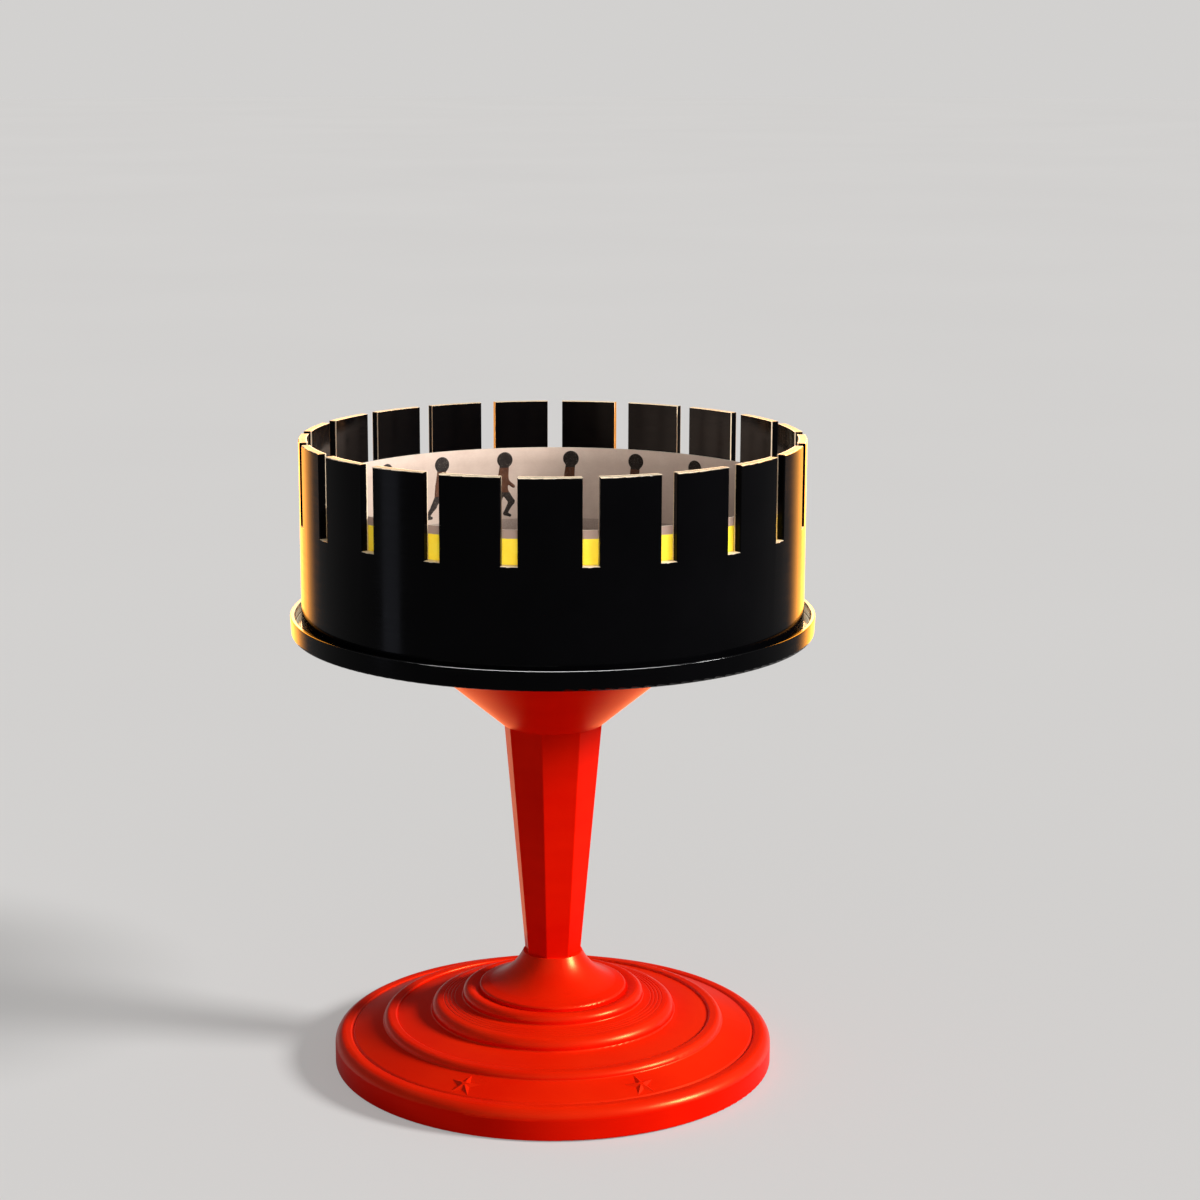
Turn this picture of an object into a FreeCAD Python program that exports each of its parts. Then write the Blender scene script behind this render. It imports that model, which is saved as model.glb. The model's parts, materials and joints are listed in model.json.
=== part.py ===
import FreeCAD, Part
import math
import os
from FreeCAD import Vector

# A zoetrope: a slotted picture drum that turns on a red pedestal stand.
# Millimetres, +Z up. The origin is the middle of the base, on the table that its feet stand on,
# and the front is towards -Y. Angles are measured from the front, and turn towards +X.

# ---------------------------------------------------------------- base, from the edge inwards
base_radius = 80.7
base_wall = 2.6
foot_proud = 0.4            # the feet hold the skirt this far off the table
skirt_edge = 0.5            # rounding under the skirt
rim_height = 11.6
rim_rounding = 4.0
rim_width = 6.5             # edge to groove
rim_groove = 0.7            # depth of the groove inside the rim, and half its width
rim_groove_edge = 0.3       # rounding of the groove's inner edge
band_width = 11.45          # sloping band that carries the stars
band_rise = 3.6
bead_width = 5.05
bead_rise = 2.6
bead_nose = 2.5             # rounding of the bead's outer side
bead_back = 1.5             # and of its inner side
bead_bank = 1.8             # the bead's inner foot is this much higher than its outer foot
slope_width = 12.7
slope_rise = 1.7
step_2_rise = 4.0
step_2_width = 11.6
step_2_nose = 3.4           # rounding of the step's edge
step_draft = 0.3            # how far a step's side leans in
shelf_rise = 1.4
shelf_line_depth = 0.14     # fine turned lines on the second step
shelf_line_half = 0.3       # half of a line's width
shelf_line_pitch = 1.3
shelf_line_count = 4
shelf_line_start = 4.6      # second step's edge to its first turned line
step_3_rise = 3.7
step_3_width = 6.3
step_3_nose = 3.2
step_3_back = 2.6           # width of the dip from the third step's crest to the cone's foot
step_3_crest = 9.0          # rounding of that crest
cone_groove = 0.8           # the cone's foot starts this far below the crest
cone_lip = 1.1              # height of the cone's upright foot above that top
cone_lip_rounding = 1.0
cone_rise = 13.6
cone_top_radius = 10.9
cone_hollow = 2.5           # how far the cone's curve falls inside a straight side
foot_rounding = 0.6         # inner corner at the foot of each step

# stars raised on the band
star_radius = 5.7
star_waist = 2.3            # radius of the star's inner corners
star_points = 5
star_rise = 0.85
star_top_share = 0.3        # size of its flat top, for one that slopes down to its outline
star_inset = 5.4            # groove to the star's middle
star_spread = 26.6          # a star each side of the front, at this angle

# base, underneath
base_rib_count = 8
base_rib_thickness = 2.0
base_rib_low = 4.0          # underside of the ribs above the table
hollow_corner = 2.0         # rounding inside the skirt's top
cone_hollow_rise = 2.7      # how far the hollow's roof stands above the third step's
foot_count = 4
foot_inset = 13.7           # base's edge to the middle of a foot
foot_pad_radius = 6.0
foot_pad_height = 2.2
foot_stem_radius = 2.2
foot_stem_length = 4.5
foot_stem_rounding = 0.4
foot_stem_room = 0.3        # hole past the stem's end
foot_boss_wall = 1.7
foot_seat_height = 2.0      # wider foot of the boss that the pad presses on
foot_pad_rounding = 0.8

# ---------------------------------------------------------------- column
column_sides = 8
column_length = 87.1
column_foot_vertex = 10.42  # centre to corner
column_top_vertex = 18.25
column_wall = 2.4
column_floor = 4.0
column_edge = 0.5           # rounding of the long edges
column_turn = 10.0          # angle of the facet nearest the front
spigot_vertex = 7.4
spigot_length = 12.0
spigot_end_gap = 0.5        # below the spigot, so that the column seats on the cone's top
moulded_fit = 0.15          # between moulded parts that plug together
clamp_web = 11.5            # plastic between the socket and the nut's seat

# ---------------------------------------------------------------- stand head
head_height = 33.0
head_overhang = 0.2         # the flare's foot stands proud of the column's corners
head_lip_radius = 56.3
head_lip_land = 1.2
head_lip_rounding = 0.5
head_wall = 2.6
head_floor = 4.0
head_plug_length = 10.0
head_boss_radius = 8.5
head_rib_count = 8
head_rib_thickness = 2.0
head_rib_drop = 2.5         # ribs end this far below the boss's top

# ---------------------------------------------------------------- spindle rod and its hardware
rod_radius = 2.5
rod_hole_gap = 0.3
rod_end_chamfer = 0.5
rod_below_nut = 1.6
nut_flats = 8.0             # across flats
nut_thickness = 4.0
jam_nut_thickness = 2.7
nut_chamfer = 0.5
thread_gap = 0.02           # between the rod and what is screwed on it
cap_nut_hex = 5.0
cap_nut_dome = 3.6          # radius of the dome
cap_nut_flat = 0.4          # small flat on top of it
cap_nut_depth = 6.0
washer_thickness = 1.0
base_washer_radius = 7.5
head_washer_radius = 6.0
lock_washer_radius = 4.6
lock_washer_slit = 1.0
thrust_washer_radius = 5.2
top_washer_radius = 5.5
running_gap = 0.05          # rod in bush
end_play = 0.10             # drum up and down on the rod

# ---------------------------------------------------------------- turntable
head_gap = 1.5              # air between the head's lip and the turntable
tray_thickness = 3.4
tray_corner = 1.2
tray_draft = 0.4            # the tray's side leans in this much towards its bottom
lip_gap = 2.4               # channel between the slotted wall and the lip
lip_thickness = 1.7
lip_height = 3.8
lip_rounding = 0.4
hub_radius = 12.5
hub_depth = 7.1
hub_spigot_radius = 9.0
hub_spigot_rise = 1.2       # hub's top above the drum's floor
tray_rib_count = 8
tray_rib_thickness = 2.0
tray_rib_depth = 5.0
tray_rib_reach = 50.0
tray_rib_end = 0.6          # depth of a rib at its outer end
press_fit = 0.02

# bush
bush_radius = 6.0
bush_flange_radius = 11.4
bush_flange_thickness = 1.5
bush_flange_edge = 0.3
bush_screw_count = 3
bush_screw_circle = 8.9
bush_screw_radius = 0.9
bush_screw_head_radius = 1.9
bush_screw_head_height = 1.1
bush_screw_length = 5.0

# ---------------------------------------------------------------- slotted drum
drum_radius = 90.0
drum_wall = 3.0
drum_height = 66.9          # turntable's top face to the rim
drum_floor = 2.4
drum_foot_edge = 0.6
slot_count = 21
slot_width = 5.6
slot_depth = 29.4
slot_turn = -0.55           # angle of the middle of the wall between the two slots at the front
slot_edge = 0.4             # rounding of the rim and of the slots' outer edges
drum_screw_count = 4
drum_screw_circle = 40.0
drum_screw_radius = 1.5
drum_screw_head_radius = 3.1
drum_screw_head_height = 1.8
drum_screw_length = 8.0
screw_hole_gap = 0.25       # screw in a clearance hole
pilot_gap = 0.02            # screw in the plastic that it cut its thread in
screw_boss_wall = 2.0
screw_boss_depth = 5.5
screw_boss_floor = 0.8      # plastic left under a screw's hole

# all self-tapping screws, as shares of the shank's radius, or of the head's radius or height
screw_tip_share = 0.3
screw_point_share = 1.4     # length of the point
screw_crown_share = 0.6     # rounding of the head
recess_depth_share = 0.5    # cross recess
recess_width_share = 0.22
recess_reach_share = 0.65

# ---------------------------------------------------------------- picture strip
strip_gap = 0.4             # between the strip and the drum's wall
strip_thickness = 0.5
strip_height = 46.6
strip_seat_gap = 0.05
strip_overlap_deg = 6.0     # the strip's ends overlap and are pasted
strip_seam_turn = -3.5      # angle of the middle of the overlap

# ---------------------------------------------------------------- construction
cut_past = 1.0              # a cutting tool runs this far past what it cuts
root = 1.0                  # a rib runs this far into what it stands on
side_share = 0.98           # most of a side that the roundings at its two ends may take

# ---------------------------------------------------------------- radii that follow
foot_circle_radius = base_radius - foot_inset
groove_radius = base_radius - rim_width
bead_foot_radius = groove_radius - band_width
bead_inner_radius = bead_foot_radius - bead_width
step_2_radius = bead_inner_radius - slope_width
step_3_radius = step_2_radius - step_2_width
cone_foot_radius = step_3_radius - step_3_width
socket_vertex = spigot_vertex + moulded_fit
socket_boss_radius = socket_vertex + base_wall
rod_hole_radius = rod_radius + rod_hole_gap
head_foot_radius = column_top_vertex + head_overhang
drum_inner_radius = drum_radius - drum_wall
lip_inner_radius = drum_radius + lip_gap
tray_radius = lip_inner_radius + lip_thickness
strip_outer_radius = drum_inner_radius - strip_gap

# ---------------------------------------------------------------- heights that follow
band_top = rim_height + band_rise
bead_top = band_top + bead_rise
bead_inner_foot = band_top + bead_bank
step_2_foot = bead_inner_foot + slope_rise
step_2_top = step_2_foot + step_2_rise
step_3_foot = step_2_top + shelf_rise
step_3_top = step_3_foot + step_3_rise
base_height = step_3_top + cone_rise
socket_floor = base_height - spigot_length - spigot_end_gap
nut_seat = socket_floor - clamp_web
column_top = base_height + column_length
head_top = column_top + head_height
head_inside_floor = column_top + head_floor
tray_bottom = head_top + head_gap
tray_top = tray_bottom + tray_thickness
hub_bottom = tray_bottom - hub_depth
bush_bottom = hub_bottom - bush_flange_thickness
thrust_washer_top = bush_bottom - end_play / 2
head_nut_top = thrust_washer_top - washer_thickness
head_nut_bottom = head_nut_top - nut_thickness
head_boss_top = head_nut_bottom - washer_thickness
drum_floor_top = tray_top + drum_floor
rim_top = tray_top + drum_height
slot_bottom = rim_top - slot_depth
hub_top = drum_floor_top + hub_spigot_rise
top_washer_bottom = hub_top + end_play / 2
jam_nut_bottom = top_washer_bottom + washer_thickness
cap_nut_bottom = jam_nut_bottom + jam_nut_thickness
rod_top = cap_nut_bottom + cap_nut_depth - rod_end_chamfer
strip_bottom = drum_floor_top + strip_seat_gap


# ---------------------------------------------------------------- shape helpers
def at(radius, angle, z=0.0):
    """Point at an angle from the front."""
    turn = math.radians(angle)
    return Vector(radius * math.sin(turn), -radius * math.cos(turn), z)


def between(low, high, share):
    return low + (high - low) * share


def bowed(start, end, depth):
    """Middle point of an arc from start to end that falls depth below and inside its chord."""
    along = Vector(end[0] - start[0], 0, end[1] - start[1])
    along.normalize()
    middle_r = (start[0] + end[0]) / 2 - abs(along.z) * depth
    middle_z = (start[1] + end[1]) / 2 - abs(along.x) * depth
    return (middle_r, middle_z)


def directions(points, corners, index):
    """Unit vectors from a corner, back and ahead along the outline. Ahead follows the arc's
    tangent where a "through" point comes next."""
    count = len(points)
    back = points[index - 1] - points[index]
    ahead = points[(index + 1) % count] - points[index]
    back.normalize()
    ahead.normalize()
    if corners[(index + 1) % count][-1] == "through":
        chord = points[(index + 2) % count] - points[index]
        chord.normalize()
        ahead = ahead * (2 * ahead.dot(chord)) - chord
    return back, ahead


def rounding_reaches(points, corners):
    """How far each corner's rounding reaches along its two sides. Where a side is too short
    for the roundings at both its ends, the two shrink together."""
    count = len(points)
    wanted = []
    for index, corner in enumerate(corners):
        if len(corner) == 3 and corner[2] != "through":
            back, ahead = directions(points, corners, index)
            wanted.append(corner[2] / math.tan(back.getAngle(ahead) / 2))
        else:
            wanted.append(0.0)
    shares = [1.0] * count
    for index in range(count):
        after = (index + 1) % count
        side = (points[after] - points[index]).Length * side_share
        both = wanted[index] + wanted[after]
        if both > side:
            shares[index] = min(shares[index], side / both)
            shares[after] = min(shares[after], side / both)
    return [reach * share for reach, share in zip(wanted, shares)]


def rounded_corner(corner, back, ahead, reach):
    """Where a corner's arc starts, its middle and its end."""
    half = back.getAngle(ahead) / 2
    radius = reach * math.tan(half)
    middle = back + ahead
    middle.normalize()
    middle = corner + middle * (radius / math.sin(half) - radius)
    return corner + back * reach, middle, corner + ahead * reach


def outline(corners):
    """Closed wire in the XZ plane through (r, z) corners. A third number rounds the corner,
    and a corner marked "through" is a point on the arc between its neighbours."""
    points = [Vector(corner[0], 0, corner[1]) for corner in corners]
    reaches = rounding_reaches(points, corners)
    count = len(corners)
    starts = []
    ends = []
    edges = []
    for index in range(count):
        starts.append(points[index])
        ends.append(points[index])
        if reaches[index] > 0:
            back, ahead = directions(points, corners, index)
            start, middle, end = rounded_corner(points[index], back, ahead, reaches[index])
            starts[index] = start
            ends[index] = end
            edges.append(Part.Arc(start, middle, end).toShape())
    for index, corner in enumerate(corners):
        after = (index + 1) % count
        if corner[-1] == "through":
            arc = Part.Arc(ends[index - 1], points[index], starts[after])
            edges.append(arc.toShape())
        elif corners[after][-1] != "through" and (ends[index] - starts[after]).Length > 1e-6:
            edges.append(Part.makeLine(ends[index], starts[after]))
    return Part.Wire(Part.__sortEdges__(edges))


def turned(corners):
    """Solid of revolution about Z of a closed outline."""
    return Part.Face(outline(corners)).revolve(Vector(0, 0, 0), Vector(0, 0, 1), 360)


def rod(radius, bottom, top, angle=0.0, circle=0.0):
    """Upright cylinder, on the axis or on a circle round it."""
    return Part.makeCylinder(radius, top - bottom, at(circle, angle, bottom))


def ring(inner, outer, bottom, top):
    return turned([(inner, bottom), (outer, bottom), (outer, top), (inner, top)])


def around(shape, count, first=0.0):
    """Copies of a shape, evenly spaced round the axis."""
    copies = []
    for index in range(count):
        angle = first + index * 360.0 / count
        copies.append(shape.rotated(Vector(0, 0, 0), Vector(0, 0, 1), angle))
    return copies


def polygon(count, vertex_radius, z, turn):
    """Regular polygon with the middle of one side at the angle turn."""
    half = 180.0 / count
    points = []
    for index in range(count + 1):
        points.append(at(vertex_radius, turn + half + 2 * half * index, z))
    return Part.makePolygon(points)


def tapered_prism(count, low_vertex, low_z, high_vertex, high_z, turn):
    low = polygon(count, low_vertex, low_z, turn)
    high = polygon(count, high_vertex, high_z, turn)
    return Part.makeLoft([low, high], True, True)


def front_plate(corners, thickness):
    """Upright plate of (r, z) corners in the plane towards +X, as thick on both sides of it."""
    points = [Vector(r, -thickness / 2, z) for r, z in corners]
    face = Part.Face(Part.makePolygon(points + points[:1]))
    return face.extrude(Vector(0, thickness, 0))


def hex_nut(bottom, height, bore):
    """Hexagon nut with chamfered corners, round the rod."""
    corner = nut_flats / 2 / math.cos(math.radians(30))
    blank = tapered_prism(6, corner, bottom, corner, bottom + height, 0.0)
    face = nut_flats / 2
    top = bottom + height
    chamfered = turned([
        (0, bottom), (face, bottom), (corner, bottom + nut_chamfer),
        (corner, top - nut_chamfer), (face, top), (0, top)])
    return blank.common(chamfered).cut(rod(bore, bottom - cut_past, top + cut_past))


def pan_screw(radius, length, head_radius, head_height, seat):
    """Self-tapping screw on the axis, head up on a seat, with a cross recess and a point."""
    tip = seat - length
    body = turned([
        (0, tip), (radius * screw_tip_share, tip), (radius, tip + radius * screw_point_share),
        (radius, seat), (head_radius, seat),
        (head_radius, seat + head_height, head_height * screw_crown_share),
        (0, seat + head_height)])
    width = 2 * head_radius * recess_width_share
    reach = 2 * head_radius * recess_reach_share
    depth = head_height * recess_depth_share
    corner = Vector(-reach / 2, -width / 2, seat + head_height - depth)
    bar = Part.makeBox(reach, width, 2 * depth, corner)
    return body.cut(bar.fuse(bar.rotated(Vector(0, 0, 0), Vector(0, 0, 1), 90)))


def moved(shape, circle, angle):
    copy = shape.copy()
    copy.translate(at(circle, angle))
    return copy


def column_vertex(z):
    """Outer corner radius of the column at a height."""
    return between(column_foot_vertex, column_top_vertex, (z - base_height) / column_length)


def column_inner_vertex(z):
    return column_vertex(z) - column_wall / math.cos(math.pi / column_sides)


# ---------------------------------------------------------------- base
def shelf_corners():
    """Top of the second step, from its nose inwards, with its fine turned lines."""
    corners = []
    width = step_2_radius - step_3_radius
    for index in range(shelf_line_count):
        middle = step_2_radius - shelf_line_start - index * shelf_line_pitch
        for side, drop in ((1, 0.0), (0, shelf_line_depth), (-1, 0.0)):
            radius = middle + side * shelf_line_half
            share = (step_2_radius - radius) / width
            corners.append((radius, between(step_2_top, step_3_foot, share) - drop))
    return corners


def base_top_corners():
    """The base's upper side, from the skirt's foot to the top of the cone."""
    cone_edge = (cone_foot_radius, step_3_top + cone_lip, cone_lip_rounding)
    cone_top = (cone_top_radius, base_height)
    cone_bow = bowed(cone_edge, cone_top, cone_hollow)
    corners = [
        (base_radius, foot_proud, skirt_edge),
        (base_radius, rim_height, rim_rounding),
        (groove_radius + rim_groove, rim_height, rim_groove),
        (groove_radius, rim_height - rim_groove),
        (groove_radius - rim_groove, rim_height, rim_groove_edge),
        (bead_foot_radius, band_top, foot_rounding),
        (bead_foot_radius - step_draft, bead_top, bead_nose),
        (bead_inner_radius, bead_top, bead_back),
        (bead_inner_radius, bead_inner_foot),
        (step_2_radius, step_2_foot, foot_rounding),
        (step_2_radius - step_draft, step_2_top, step_2_nose)]
    corners += shelf_corners()
    corners += [
        (step_3_radius, step_3_foot, foot_rounding),
        (step_3_radius - step_draft, step_3_top, step_3_nose),
        (cone_foot_radius + step_3_back, step_3_top, step_3_crest),
        (cone_foot_radius, step_3_top - cone_groove),
        cone_edge,
        (*cone_bow, "through"),
        cone_top]
    return corners


def base_hollow():
    """Space under the base's skin, before its ribs and bosses are left standing in it."""
    skirt = base_radius - base_wall
    step_2_skin = step_2_radius - base_wall
    step_3_skin = step_3_radius - base_wall
    below = foot_proud - cut_past
    roof = step_3_top - base_wall - cone_groove
    cone_roof = roof + cone_hollow_rise
    return turned([
        (0, below), (skirt, below),
        (skirt, rim_height - base_wall, hollow_corner),
        (groove_radius, rim_height - rim_groove - base_wall),
        (bead_foot_radius, band_top - base_wall),
        (bead_inner_radius, bead_inner_foot - base_wall),
        (step_2_skin, step_2_foot - base_wall),
        (step_2_skin - step_draft, step_2_top - base_wall),
        (step_3_skin, step_3_foot - base_wall),
        (step_3_skin - step_draft, roof),
        (cone_foot_radius - base_wall, roof),
        (socket_boss_radius, cone_roof), (0, cone_roof)])


def base_ribs_and_bosses():
    """What is left standing in the hollow: ribs, the socket's boss and the feet's bosses."""
    boss = foot_stem_radius + foot_boss_wall
    pad = foot_pad_radius + foot_boss_wall
    foot_boss = rod(boss, foot_pad_height, base_height, 0.0, foot_circle_radius)
    pad_top = foot_pad_height + foot_seat_height
    pad_boss = rod(pad, foot_pad_height, pad_top, 0.0, foot_circle_radius)
    inner = socket_boss_radius - root
    rib = front_plate([
        (inner, base_rib_low), (base_radius, base_rib_low), (base_radius, base_height),
        (inner, base_height)], base_rib_thickness)
    pieces = around(rib, base_rib_count)
    pieces += around(foot_boss.fuse(pad_boss), foot_count, 180.0 / base_rib_count)
    pieces.append(rod(socket_boss_radius, nut_seat, base_height))
    nut_room = rod(socket_boss_radius, foot_proud - 2 * cut_past, nut_seat)
    return pieces[0].fuse(pieces[1:]).cut(nut_room)


def star_outline(share, z):
    """Five-pointed star round the axis, one point towards the back."""
    points = []
    for index in range(2 * star_points + 1):
        radius = share * (star_waist if index % 2 else star_radius)
        turn = math.radians(180.0 / star_points * index)
        points.append(Vector(radius * math.sin(turn), radius * math.cos(turn), z))
    return Part.makePolygon(points)


def stars():
    """Two raised stars, square to the band, whose sides slope up to a small flat top."""
    sunk = Part.Face(star_outline(1.0, -root)).extrude(Vector(0, 0, root))
    raised = Part.makeLoft([star_outline(1.0, 0.0), star_outline(star_top_share, star_rise)],
                           True, True)
    star = sunk.fuse(raised)
    free_width = band_width - rim_groove
    slope = math.degrees(math.atan2(band_rise, free_width))
    star.rotate(Vector(0, 0, 0), Vector(1, 0, 0), slope)
    band_share = (star_inset - rim_groove) / free_width
    star.translate(at(groove_radius - star_inset, 0.0, between(rim_height, band_top, band_share)))
    right = star.rotated(Vector(0, 0, 0), Vector(0, 0, 1), star_spread)
    left = star.rotated(Vector(0, 0, 0), Vector(0, 0, 1), -star_spread)
    return [left, right]


def make_base():
    filled = turned([(0, foot_proud)] + base_top_corners() + [(0, base_height)])
    base = filled.cut(base_hollow().cut(base_ribs_and_bosses()))
    socket = tapered_prism(column_sides, socket_vertex, socket_floor,
                           socket_vertex, base_height + cut_past, column_turn)
    stem_hole = rod(foot_stem_radius + pilot_gap, foot_pad_height - cut_past,
                    foot_pad_height + foot_stem_length + foot_stem_room, 0.0, foot_circle_radius)
    base = base.cut([socket, rod(rod_hole_radius, 0, base_height)])
    base = base.cut(around(stem_hole, foot_count, 180.0 / base_rib_count))
    return base.fuse(stars()).removeSplitter()


def make_rubber_feet():
    top = foot_pad_height
    foot = turned([
        (0, 0), (foot_pad_radius, 0, foot_pad_rounding), (foot_pad_radius, top),
        (foot_stem_radius, top),
        (foot_stem_radius, top + foot_stem_length, foot_stem_rounding),
        (0, top + foot_stem_length)])
    placed = moved(foot, foot_circle_radius, 0.0)
    return Part.makeCompound(around(placed, foot_count, 180.0 / base_rib_count))


# ---------------------------------------------------------------- column
def make_column():
    post = tapered_prism(column_sides, column_foot_vertex, base_height,
                         column_top_vertex, column_top, column_turn)
    long_edges = []
    for edge in post.Edges:
        if edge.BoundBox.ZLength > column_length / 2:
            long_edges.append(edge)
    post = post.makeFillet(column_edge, long_edges)
    inside_bottom = base_height + column_floor
    above = column_top + cut_past
    hollow = tapered_prism(column_sides, column_inner_vertex(inside_bottom), inside_bottom,
                           column_inner_vertex(above), above, column_turn)
    spigot_bottom = base_height - spigot_length
    spigot = tapered_prism(column_sides, spigot_vertex, spigot_bottom,
                           spigot_vertex, base_height + root, column_turn)
    bore = rod(rod_hole_radius, spigot_bottom - cut_past, column_top)
    return post.fuse(spigot).cut(hollow).cut(bore).removeSplitter()


# ---------------------------------------------------------------- stand head
def head_radius(z):
    """Outside of the flare at a height."""
    lean = head_height - head_lip_land
    return between(head_foot_radius, head_lip_radius, (z - column_top) / lean)


def head_inner_radius(z):
    lean = head_height - head_lip_land
    slant = math.hypot(head_lip_radius - head_foot_radius, lean) / lean
    return head_radius(z) - head_wall * slant


def make_stand_head():
    land = head_top - head_lip_land
    floor_edge = head_inner_radius(head_inside_floor)
    flare = turned([
        (0, column_top), (head_foot_radius, column_top),
        (head_lip_radius, land, head_lip_rounding),
        (head_lip_radius, head_top, head_lip_rounding),
        (head_inner_radius(head_top), head_top, head_lip_rounding),
        (floor_edge, head_inside_floor), (0, head_inside_floor)])
    rib_top = head_boss_top - head_rib_drop
    rib_foot = head_inside_floor - root
    rib = front_plate([
        (head_boss_radius - root, rib_foot), (floor_edge, rib_foot),
        (floor_edge + root, head_inside_floor), (head_inner_radius(rib_top) + root, rib_top),
        (head_boss_radius - root, rib_top)],
        head_rib_thickness)
    plug_bottom = column_top - head_plug_length
    fit = moulded_fit / math.cos(math.pi / column_sides)
    plug = tapered_prism(column_sides, column_inner_vertex(plug_bottom) - fit, plug_bottom,
                         column_inner_vertex(column_top) - fit, column_top, column_turn)
    boss = rod(head_boss_radius, column_top, head_boss_top)
    head = flare.fuse(around(rib, head_rib_count, 180.0 / head_rib_count) + [boss, plug])
    bore = rod(rod_hole_radius, plug_bottom - cut_past, head_boss_top + cut_past)
    return head.cut(bore).removeSplitter()


# ---------------------------------------------------------------- rod, nuts and washers
def make_central_rod():
    bottom = nut_seat - 2 * washer_thickness - nut_thickness - rod_below_nut
    inside = rod_radius - rod_end_chamfer
    return turned([
        (0, bottom), (inside, bottom), (rod_radius, bottom + rod_end_chamfer),
        (rod_radius, rod_top - rod_end_chamfer), (inside, rod_top), (0, rod_top)])


def washer(radius, bottom):
    return ring(rod_radius + thread_gap, radius, bottom, bottom + washer_thickness)


def make_base_lock_washer():
    top = nut_seat - washer_thickness
    slit = Part.makeBox(lock_washer_slit, lock_washer_radius + cut_past, 3 * washer_thickness,
                        Vector(-lock_washer_slit / 2, 0, top - 2 * washer_thickness))
    return washer(lock_washer_radius, top - washer_thickness).cut(slit)


def make_cap_nut():
    hexagon = hex_nut(cap_nut_bottom, cap_nut_hex, rod_radius + thread_gap)
    hex_top = cap_nut_bottom + cap_nut_hex
    crown = math.sqrt(cap_nut_dome ** 2 - cap_nut_flat ** 2)
    shoulder = cap_nut_dome * math.sqrt(0.5)
    dome = turned([
        (0, hex_top - nut_chamfer), (cap_nut_dome, hex_top - nut_chamfer), (cap_nut_dome, hex_top),
        (shoulder, hex_top + shoulder, "through"), (cap_nut_flat, hex_top + crown),
        (0, hex_top + crown)])
    bore = rod(rod_radius + thread_gap, cap_nut_bottom - cut_past,
               cap_nut_bottom + cap_nut_depth)
    return hexagon.fuse(dome).cut(bore)


# ---------------------------------------------------------------- turntable
def drum_screw_places():
    first = 180.0 / tray_rib_count
    return [first + index * 360.0 / drum_screw_count for index in range(drum_screw_count)]


def make_turntable():
    tray = turned([
        (0, hub_bottom), (hub_radius, hub_bottom), (hub_radius, tray_bottom),
        (tray_radius - tray_draft, tray_bottom, tray_corner),
        (tray_radius, tray_top + lip_height, lip_rounding),
        (lip_inner_radius, tray_top + lip_height, lip_rounding),
        (lip_inner_radius, tray_top, lip_rounding),
        (hub_spigot_radius, tray_top), (hub_spigot_radius, hub_top), (0, hub_top)])
    rib_low = tray_bottom - tray_rib_depth
    rib = front_plate([
        (hub_radius - root, rib_low), (hub_radius + root, rib_low),
        (tray_rib_reach, tray_bottom - tray_rib_end), (tray_rib_reach, tray_bottom + root),
        (hub_radius - root, tray_bottom + root)], tray_rib_thickness)
    inside = around(rib, tray_rib_count)
    holes = [rod(bush_radius + press_fit, hub_bottom - cut_past, hub_top + cut_past)]
    boss_bottom = tray_bottom - screw_boss_depth
    for angle in drum_screw_places():
        boss = drum_screw_radius + screw_boss_wall
        inside.append(rod(boss, boss_bottom, tray_top, angle, drum_screw_circle))
        holes.append(rod(drum_screw_radius + pilot_gap, boss_bottom + screw_boss_floor,
                         tray_top + cut_past, angle, drum_screw_circle))
    for index in range(bush_screw_count):
        angle = index * 360.0 / bush_screw_count
        holes.append(rod(bush_screw_radius + pilot_gap, hub_bottom - cut_past,
                         hub_bottom + bush_screw_length, angle, bush_screw_circle))
    return tray.fuse(inside).cut(holes).removeSplitter()


def make_bearing_bush():
    bush = turned([
        (rod_radius + running_gap, bush_bottom),
        (bush_flange_radius, bush_bottom, bush_flange_edge),
        (bush_flange_radius, hub_bottom, bush_flange_edge), (bush_radius, hub_bottom),
        (bush_radius, hub_top), (rod_radius + running_gap, hub_top)])
    holes = []
    for index in range(bush_screw_count):
        angle = index * 360.0 / bush_screw_count
        holes.append(rod(bush_screw_radius + screw_hole_gap, bush_bottom - cut_past,
                         hub_bottom + cut_past, angle, bush_screw_circle))
    return bush.cut(holes)


def make_bush_screws():
    screw = pan_screw(bush_screw_radius, bush_screw_length, bush_screw_head_radius,
                      bush_screw_head_height, 0.0)
    upside_down = screw.rotated(Vector(0, 0, 0), Vector(1, 0, 0), 180)
    upside_down.translate(Vector(0, 0, bush_bottom))
    placed = moved(upside_down, bush_screw_circle, 0.0)
    return Part.makeCompound(around(placed, bush_screw_count))


# ---------------------------------------------------------------- slotted drum
def make_slotted_drum():
    cup = turned([
        (hub_spigot_radius + moulded_fit, tray_top), (drum_radius, tray_top, drum_foot_edge),
        (drum_radius, rim_top), (drum_inner_radius, rim_top),
        (drum_inner_radius, drum_floor_top), (hub_spigot_radius + moulded_fit, drum_floor_top)])
    half_pitch = 180.0 / slot_count
    outside = drum_radius + drum_wall
    slot = Part.makeBox(slot_width, 3 * drum_wall, slot_depth + cut_past,
                        Vector(-slot_width / 2, -outside, slot_bottom))
    cup = cup.cut(around(slot, slot_count, slot_turn + half_pitch))
    outer_edges = []
    for edge in cup.Edges:
        middle = edge.valueAt((edge.FirstParameter + edge.LastParameter) / 2)
        on_the_outside = math.hypot(middle.x, middle.y) > drum_radius - slot_edge
        if on_the_outside and edge.BoundBox.ZMin > slot_bottom - slot_edge:
            outer_edges.append(edge)
    cup = cup.makeFillet(slot_edge, outer_edges)
    holes = []
    for angle in drum_screw_places():
        holes.append(rod(drum_screw_radius + screw_hole_gap, tray_top - cut_past,
                         drum_floor_top + cut_past, angle, drum_screw_circle))
    return cup.cut(holes)


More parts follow.
